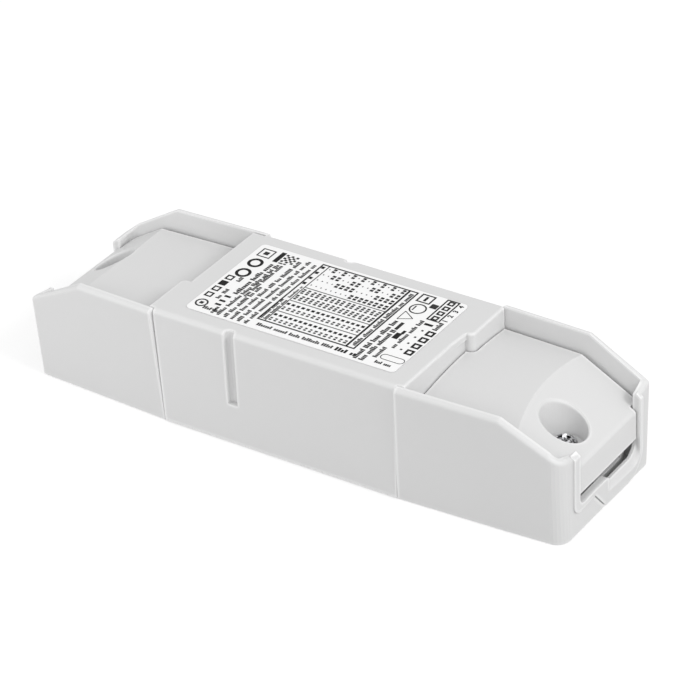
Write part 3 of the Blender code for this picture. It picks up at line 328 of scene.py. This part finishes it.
def capsule(x, y, along, radius, count=12):
    """A stadium shape that lies along the housing."""
    points = []
    for i in range(2 * count + 2):
        side = 1 if i <= count else -1
        angle = math.pi * (i - (side < 0)) / count - math.pi / 2
        points.append((x + side * along / 2 + radius * math.cos(angle), y + radius * math.sin(angle)))
    return points


def bar(mesh, x, y, along, across):
    solid(mesh, rectangle(x, y, along, across))


def box_outline(mesh, x, y, along, across, line):
    solid(mesh, rectangle(x, y, along, across), rectangle(x, y, along - 2 * line, across - 2 * line))


def ring(mesh, x, y, radius, line):
    solid(mesh, circle(x, y, radius), circle(x, y, radius - line))


def stroke(mesh, start, end, line):
    """A straight line of the given width between two points."""
    (x0, y0), (x1, y1) = start, end
    length = math.hypot(x1 - x0, y1 - y0)
    dx, dy = -(y1 - y0) / length * line / 2, (x1 - x0) / length * line / 2
    solid(mesh, [(x0 - dx, y0 - dy), (x1 - dx, y1 - dy), (x1 + dx, y1 + dy), (x0 + dx, y0 + dy)])


def words(mesh, line, start, end, height, dice, pitch=WORD_PITCH, along=False):
    """A line of print as a row of small blocks with word gaps.

    It reads across the housing, or along it. line is its place on the other axis.
    """
    place = start
    left_in_word = dice.randint(*WORD_BLOCKS)
    while place < end:
        if left_in_word:
            tall = height if dice.random() < TALL_SHARE else height * LOW_HEIGHT
            if along:
                bar(mesh, place + pitch / 2, line - (height - tall) / 2, pitch * BLOCK_FILL, tall)
            else:
                bar(mesh, line + (height - tall) / 2, place + pitch / 2, tall, pitch * BLOCK_FILL)
            left_in_word -= 1
        else:
            left_in_word = dice.randint(*WORD_BLOCKS)
        place += pitch


# The framed table: its frame, the lines inside it, its columns and the rows of marks in each
TABLE = (2.4, 1.5, 27.9, 28.6)
TABLE_LINE = 0.42
TABLE_LEFT_LINE = -9.4
TABLE_RIGHT_LINE = 13.9
TABLE_RULES = (4.6, -2.0, -7.4)
TABLE_COLUMNS = 16
TABLE_PITCH = 1.427
TABLE_START = -8.6
CODE_ROWS = (14.3, 11.6, 8.9, 6.2)
NUMBER_ROWS = (3.6, 2.8, 2.0, 0.7, -0.1, -0.9)
NUMBER_SHIFT = 0.12
MARK_ROWS = (-3.6, -9.0)
MARK_TAIL = (1.7, 2.5)
MARK_VARY = 0.1
SWITCH_STEP = 0.52
THIN_LINE = 0.26
THICK_LINE = 0.55
RULE_CLEARANCE = 0.5

# The checkered square: its squares stay just apart, so that no two share a corner
CHECKER_SIDE = 5
CHECKER_STEP = 0.72
CHECKER_SQUARE = 0.70

# The selector's four numbered positions, and the digits beside them. The weight, by which a
# digit's outline is made fatter, and the distance for merging points are in metres.
POSITIONS = 4
POSITION_START = 7.95
POSITION_STEP = 2.42
DIGIT_PLACE = 28.6
DIGIT_HEIGHT = 1.9
DIGIT_WEIGHT = 0.00006
DIGIT_STEPS = 3
MERGE_DISTANCE = 1e-7


def print_table(black, grey, dice):
    x, y, along, across = TABLE
    box_outline(black, x, y, along, across, TABLE_LINE)
    bar(black, TABLE_RIGHT_LINE, y, THICK_LINE, across - 2 * TABLE_LINE)
    bar(black, TABLE_LEFT_LINE, y, THIN_LINE, across - 2 * TABLE_LINE)
    inside = TABLE_RIGHT_LINE - TABLE_LEFT_LINE - RULE_CLEARANCE
    for rule in TABLE_RULES:
        bar(grey, (TABLE_RIGHT_LINE + TABLE_LEFT_LINE) / 2, rule, inside, THIN_LINE)
    for column in range(TABLE_COLUMNS):
        cx = TABLE_START + column * TABLE_PITCH
        for row, cy in enumerate(CODE_ROWS):
            if column >> row & 1:
                for step in (-SWITCH_STEP, SWITCH_STEP):
                    bar(black, cx, cy + step, 0.90, 0.74)
            else:
                bar(black, cx, cy, 0.28, 0.42)
        for cy in NUMBER_ROWS:
            bar(black, cx + dice.uniform(-NUMBER_SHIFT, NUMBER_SHIFT), cy, 0.78, 0.56)
        for cy in MARK_ROWS:
            bar(black, cx, cy, 0.86, 0.86)
            for step in MARK_TAIL:
                bar(black, cx, cy - step, 0.72 + dice.uniform(-MARK_VARY, MARK_VARY), 0.52)
    for cy in CODE_ROWS:
        bar(black, -10.6, cy, 0.9, 1.0)
    for x, start, end in ((-10.2, -1.2, 4.2), (-11.0, -12.0, -2.6), (-10.0, -12.0, -2.6)):
        words(grey, x, start, end, 0.75, dice, 0.48)
    words(grey, 15.2, -11.5, 14.5, 1.1, dice)


def print_left(black, grey, dice):
    """The strip beside the input cover."""
    box_outline(grey, -26.6, 13.2, 3.8, 3.8, 0.35)
    bar(grey, -26.6, 13.2, 1.4, 1.4)
    for y in (8.2, 3.0):
        ring(black, -26.5, y, 2.05, 0.80)
    for y in (-1.5, -7.2, -10.2):
        box_outline(black, -28.0, y + 1.0, 2.1, 2.1, 0.46)
    bar(black, -28.0, -3.3, 2.1, 2.1)
    for y in (-0.3, -6.4, -9.0):
        words(grey, -25.3, y - 0.9, y + 0.9, 1.1, dice, 0.55)
    ring(grey, -27.4, -13.2, 1.7, 0.45)
    bar(grey, -27.4, -13.2, 1.0, 1.0)
    bar(black, -22.7, 13.2, 1.3, 4.8)
    for row in range(CHECKER_SIDE):
        for column in range(CHECKER_SIDE):
            if (row + column) % 2 == 0:
                bar(black, -21.3 + row * CHECKER_STEP, 12.0 + column * CHECKER_STEP,
                    CHECKER_SQUARE, CHECKER_SQUARE)
    words(black, -22.6, -6.2, 9.2, 1.35, dice, 0.72)
    for y in (-8.0, -10.2, -12.0):
        bar(black, -23.4, y, 1.7, 0.75)
    words(grey, -22.8, -16.0, -13.0, 1.2, dice)
    for x, start, end in ((-21.0, -16.0, 10.8), (-20.0, -6.0, 10.8), (-18.9, -16.0, -1.0),
                          (-17.0, -16.0, 13.8), (-15.0, -16.0, 15.6), (-13.0, -16.0, 14.2)):
        words(grey, x, start, end, 1.15, dice)
    words(grey, -14.6, -26.0, -22.0, 1.2, dice, along=True)
    words(grey, -14.6, -10.2, 11.0, 1.2, dice, along=True)
    words(black, -14.6, 12.2, 17.4, 1.5, dice, 0.85, along=True)


def print_right(black, grey, dice):
    """The strip beside the output cover, with the selector's four numbered positions."""
    box_outline(black, 19.3, 14.2, 3.9, 3.7, 0.42)
    bar(black, 19.3, 14.2, 0.7, 2.0)
    ring(black, 19.9, 9.5, 2.2, 0.38)
    bar(grey, 18.9, 9.5, 0.35, 2.0)
    bar(grey, 22.8, 12.2, 1.9, 1.9)
    box_outline(black, 25.8, 11.6, 3.6, 10.0, 0.40)
    for i in range(POSITIONS):
        box_outline(black, 25.8, POSITION_START + i * POSITION_STEP, 1.8, 1.8, 0.50)
        box_outline(black, 28.5, -7.7 + i * 3.05, 2.2, 2.2, 0.60)
    triangle = ((17.9, 3.4), (17.9, 7.3), (21.2, 5.2))
    for i in range(3):
        stroke(grey, triangle[i], triangle[(i + 1) % 3], 0.22)
    bar(black, 26.0, 4.7, 2.3, 0.85)
    bar(grey, 20.2, 0.9, 0.9, 3.4)
    bar(black, 22.0, -3.0, 1.5, 2.6)
    bar(black, 22.6, -1.0, 0.8, 1.6)
    for y in (1.8, -1.4, -4.4, -7.5):
        bar(black, 26.1, y, 0.55, 0.55)
    words(grey, 23.8, -8.0, 5.6, 1.2, dice)
    words(grey, 28.4, 3.2, 6.4, 1.3, dice)
    words(black, 18.2, -16.0, 2.0, 1.4, dice)
    words(black, 20.1, -16.0, -1.4, 1.4, dice)
    words(grey, 22.3, -13.4, -8.6, 1.2, dice)
    solid(grey, capsule(26.6, -12.0, 4.2, 1.15), capsule(26.6, -12.0, 4.2, 0.95))
    words(black, -14.7, 23.4, 28.2, 1.1, dice, 0.5, along=True)


def digit_mesh(character, x, y, height):
    """A plain digit from the built-in font, as a flat mesh on the label."""
    curve = bpy.data.curves.new("digit", "FONT")
    curve.body = character
    curve.size = height * MM
    curve.align_x = "CENTER"
    curve.align_y = "CENTER"
    curve.extrude = (INK_TOP - INK_FOOT) / 2
    curve.resolution_u = DIGIT_STEPS
    curve.offset = DIGIT_WEIGHT
    text = bpy.data.objects.new("digit", curve)
    bpy.context.collection.objects.link(text)
    text.location = (LABEL_X + x * MM, LABEL_Y + y * MM, (INK_TOP + INK_FOOT) / 2)
    text.rotation_euler = (0.0, 0.0, math.pi / 2)
    bpy.context.view_layer.update()
    mesh = bmesh.new()
    mesh.from_mesh(text.to_mesh())
    bmesh.ops.transform(mesh, matrix=text.matrix_world, verts=mesh.verts)
    bmesh.ops.remove_doubles(mesh, verts=mesh.verts, dist=MERGE_DISTANCE)
    text.to_mesh_clear()
    bpy.data.objects.remove(text, do_unlink=True)
    bpy.data.curves.remove(curve)
    return mesh


def add_print():
    dice = random.Random(PRINT_SEED)
    black = bmesh.new()
    grey = bmesh.new()
    print_table(black, grey, dice)
    print_left(black, grey, dice)
    print_right(black, grey, dice)
    add_piece("label_black_print", black, BLACK_INK)
    add_piece("label_grey_print", grey, GREY_INK)
    for i in range(POSITIONS):
        place = POSITION_START + i * POSITION_STEP
        digit = digit_mesh(str(i + 1), DIGIT_PLACE, place, DIGIT_HEIGHT)
        add_piece(f"label_digit_{i + 1}", digit, BLACK_INK)


add_print()


# Cover screws: a pan head with a cross recess, and a thread on the shank. Lengths are in metres,
# apart from TIP_LENGTH, in shank radii, and UNDERSIDE_STEP and EDGE_START, in head edges.
# SHANK_SHARE and CROWN_TOP are shares of the head's radius, and TIP_SHARE of the thread's core.

SCREW_SIDES = 64
SCREW_TURN = math.radians(25)
SHARP_ANGLE = math.radians(32)
THREAD_PITCH = 0.0013
THREAD_DEPTH = 0.00032
THREAD_FLANKS = 4.0
ROWS_PER_TURN = 8
PLAIN_SHANK = 0.0008
NECK_HEIGHT = 0.0004
TIP_LENGTH = 1.4
TIP_SHARE = 0.25
SHANK_SHARE = 0.468
HEAD_HEIGHT = 0.0021
HEAD_EDGE = 0.00035
UNDERSIDE_STEP = 0.4
EDGE_START = 0.3
EDGE_STEPS = 6
CROWN_STEPS = 10
CROWN_POWER = 1.6
CROWN_TOP = 0.12
RECESS_REACH = 0.0020
RECESS_FOOT_REACH = 0.0008
RECESS_HALF_WIDTH = 0.00052
RECESS_FOOT_HALF_WIDTH = RECESS_HALF_WIDTH * 0.8
RECESS_DEPTH = 0.0014
TICK_REACH = 0.0026
TICK_START = 0.0009
TICK_HALF_WIDTH = 0.00020
TICK_DEPTH = 0.00030
CUT_CLEARANCE = 0.0005


def thread_rings(radius, length):
    """Radius as a function of the angle, and height, for each ring of the threaded shank."""
    rings = []
    end = length - HEAD_HEIGHT - PLAIN_SHANK
    tip = radius * TIP_LENGTH
    rows = int(end / THREAD_PITCH * ROWS_PER_TURN)
    for row in range(rows + 1):
        z = end * row / rows
        core = (radius - THREAD_DEPTH) * min(TIP_SHARE + (1.0 - TIP_SHARE) * z / tip, 1.0)
        fade = min(z / tip, (end - z) / THREAD_PITCH, 1.0)

        def thread(angle, z=z, core=core, fade=fade):
            phase = (z / THREAD_PITCH - angle / (2 * math.pi)) % 1.0
            return core + THREAD_DEPTH * fade * max(1.0 - abs(phase - 0.5) * THREAD_FLANKS, 0.0)

        rings.append((thread, z))
    return rings


def head_rings(radius, length, head_radius):
    """Radius and height of each round ring, from the neck to the head's top."""
    seat = length - HEAD_HEIGHT
    rings = [(radius - THREAD_DEPTH, seat - NECK_HEIGHT), (radius, seat),
             (head_radius - HEAD_EDGE * UNDERSIDE_STEP, seat)]
    for i in range(EDGE_STEPS + 1):
        angle = i / EDGE_STEPS * math.pi / 2
        rings.append((head_radius - HEAD_EDGE + HEAD_EDGE * math.sin(angle),
                      seat + HEAD_EDGE * EDGE_START + HEAD_EDGE * (1.0 - EDGE_START) * i / EDGE_STEPS))
    crown = length - seat - HEAD_EDGE
    for i in range(1, CROWN_STEPS + 1):
        share = i / CROWN_STEPS
        reach = math.sqrt(1.0 - share ** CROWN_POWER) if share < 1.0 else CROWN_TOP
        rings.append((head_radius * reach, seat + HEAD_EDGE + crown * share))
    return rings


def screw_body(radius, length, head_radius):
    mesh = bmesh.new()
    loops = []
    rings = thread_rings(radius, length)
    rings += [(lambda angle, r=r: r, z) for r, z in head_rings(radius, length, head_radius)]
    for reach, z in rings:
        loop = []
        for i in range(SCREW_SIDES):
            angle = 2 * math.pi * i / SCREW_SIDES
            r = reach(angle)
            loop.append(mesh.verts.new((r * math.cos(angle), r * math.sin(angle), z)))
        loops.append(loop)
    for low, high in zip(loops, loops[1:]):
        for i in range(SCREW_SIDES):
            j = (i + 1) % SCREW_SIDES
            mesh.faces.new((low[i], low[j], high[j], high[i]))
    mesh.faces.new(loops[0][::-1])
    mesh.faces.new(loops[-1])
    return mesh


def turned(outline, angle):
    return [(x * math.cos(angle) - y * math.sin(angle), x * math.sin(angle) + y * math.cos(angle))
            for x, y in outline]


def tapered(mesh, low_outline, low_z, high_outline, high_z):
    """A closed solid between two outlines with the same number of points."""
    low = [mesh.verts.new((x, y, low_z)) for x, y in low_outline]
    high = [mesh.verts.new((x, y, high_z)) for x, y in high_outline]
    for i in range(len(low)):
        j = (i + 1) % len(low)
        mesh.faces.new((low[i], low[j], high[j], high[i]))
    mesh.faces.new(low[::-1])
    mesh.faces.new(high)


def cross(reach, half):
    """The outline of a cross with four equal arms."""
    arm = [(half, -half), (reach, -half), (reach, half)]
    return [point for quarter in range(4) for point in turned(arm, quarter * math.pi / 2)]


def cut_with(piece, cutter_mesh):
    """Cut a closed bmesh from a piece, and keep the result as plain mesh."""
    data = bpy.data.meshes.new("cutter")
    bmesh.ops.recalc_face_normals(cutter_mesh, faces=cutter_mesh.faces)
    cutter_mesh.to_mesh(data)
    cutter_mesh.free()
    cutter = bpy.data.objects.new("cutter", data)
    bpy.context.collection.objects.link(cutter)
    cutter.matrix_world = piece.matrix_world
    modifier = piece.modifiers.new("cut", "BOOLEAN")
    modifier.operation = "DIFFERENCE"
    modifier.solver = "EXACT"
    modifier.object = cutter
    bpy.context.view_layer.update()
    graph = bpy.context.evaluated_depsgraph_get()
    result = bpy.data.meshes.new_from_object(piece.evaluated_get(graph))
    piece.modifiers.clear()
    piece.data = result
    bpy.data.objects.remove(cutter, do_unlink=True)


def add_screw(node):
    low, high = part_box(node)
    head_radius = (high[0] - low[0]) / 2
    length = high[2] - low[2]
    mesh = screw_body(head_radius * SHANK_SHARE, length, head_radius)
    piece = add_piece(f"{node}_detail", mesh, STEEL, SHARP_ANGLE)
    piece.location = ((low[0] + high[0]) / 2, (low[1] + high[1]) / 2, low[2])
    bpy.context.view_layer.update()
    above = length + CUT_CLEARANCE
    ticks = bmesh.new()
    tick = [(TICK_START, -TICK_HALF_WIDTH), (TICK_REACH, -TICK_HALF_WIDTH),
            (TICK_REACH, TICK_HALF_WIDTH), (TICK_START, TICK_HALF_WIDTH)]
    for quarter in range(4):
        outline = turned(tick, (quarter + 0.5) * math.pi / 2 + SCREW_TURN)
        tapered(ticks, outline, length - TICK_DEPTH, outline, above)
    cut_with(piece, ticks)
    recess = bmesh.new()
    foot = turned(cross(RECESS_FOOT_REACH, RECESS_FOOT_HALF_WIDTH), SCREW_TURN)
    mouth = turned(cross(RECESS_REACH, RECESS_HALF_WIDTH), SCREW_TURN)
    tapered(recess, foot, length - RECESS_DEPTH, mouth, above)
    cut_with(piece, recess)
    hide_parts(node)


for screw_node in ("output_cover_screw", "input_cover_screw"):
    add_screw(screw_node)


# Stage

def calculate(tree, operation, first, second):
    node = tree.nodes.new("ShaderNodeMath")
    node.operation = operation
    feed(tree, node.inputs[0], first)
    feed(tree, node.inputs[1], second)
    return node.outputs[0]


def open_from_below(tree, path):
    """A mask that clears the floor for rays from below, and for light to what rests on it."""
    side = tree.nodes.new("ShaderNodeNewGeometry")
    near = calculate(tree, "LESS_THAN", path.outputs["Ray Length"], FLOOR_NEAR)
    return calculate(tree, "MAXIMUM", side.outputs["Backfacing"], near)


def matt_white(tree, path):
    """A matt floor that takes shadows, and looks white to the camera and in reflections."""
    diffuse = tree.nodes.new("ShaderNodeBsdfDiffuse")
    diffuse.inputs["Color"].default_value = (FLOOR_WHITE, FLOOR_WHITE, FLOOR_WHITE, 1.0)
    seen = calculate(tree, "MAXIMUM", path.outputs["Is Camera Ray"], path.outputs["Is Glossy Ray"])
    glow = tree.nodes.new("ShaderNodeEmission")
    tree.links.new(calculate(tree, "MULTIPLY", seen, FLOOR_LIFT), glow.inputs["Strength"])
    both = tree.nodes.new("ShaderNodeAddShader")
    tree.links.new(diffuse.outputs[0], both.inputs[0])
    tree.links.new(glow.outputs[0], both.inputs[1])
    return both.outputs[0]


def floor_material():
    mat, tree, shader = new_material("floor")
    tree.nodes.remove(shader)
    path = tree.nodes.new("ShaderNodeLightPath")
    clear = tree.nodes.new("ShaderNodeMixShader")
    tree.links.new(open_from_below(tree, path), clear.inputs["Fac"])
    tree.links.new(matt_white(tree, path), clear.inputs[1])
    tree.links.new(tree.nodes.new("ShaderNodeBsdfTransparent").outputs[0], clear.inputs[2])
    tree.links.new(clear.outputs[0], tree.nodes["Material Output"].inputs["Surface"])
    return mat


def add_floor():
    mesh = bmesh.new()
    bmesh.ops.create_grid(mesh, x_segments=1, y_segments=1, size=FLOOR_SIZE)
    data = bpy.data.meshes.new("floor")
    mesh.to_mesh(data)
    mesh.free()
    data.materials.append(floor_material())
    floor = bpy.data.objects.new("floor", data)
    floor.location.z = -FLOOR_GAP
    bpy.context.collection.objects.link(floor)


def add_light(name, place, target, size, power):
    data = bpy.data.lights.new(name, "AREA")
    data.shape = "DISK"
    data.size = size
    data.energy = power
    light = bpy.data.objects.new(name, data)
    light.location = place
    light.rotation_euler = (Vector(target) - Vector(place)).to_track_quat("-Z", "Y").to_euler()
    bpy.context.collection.objects.link(light)


def add_world():
    """An even surround that the camera sees as white."""
    world = bpy.data.worlds.new("studio")
    bpy.context.scene.world = world
    world.use_nodes = True
    tree = world.node_tree
    back = tree.nodes["Background"]
    back.inputs["Color"].default_value = (1.0, 1.0, 1.0, 1.0)
    path = tree.nodes.new("ShaderNodeLightPath")
    span = tree.nodes.new("ShaderNodeMapRange")
    span.inputs["To Min"].default_value = WORLD_STRENGTH
    span.inputs["To Max"].default_value = 1.0
    tree.links.new(path.outputs["Is Camera Ray"], span.inputs["Value"])
    tree.links.new(span.outputs["Result"], back.inputs["Strength"])


add_floor()
add_world()
add_light("key", KEY_PLACE, LAMP_AIM, KEY_SIZE, KEY_POWER)
add_light("front", FRONT_PLACE, LAMP_AIM, FRONT_SIZE, FRONT_POWER)
add_light("fill", FILL_PLACE, FILL_AIM, FILL_SIZE, FILL_POWER)

bpy.context.scene.view_settings.view_transform = "Standard"
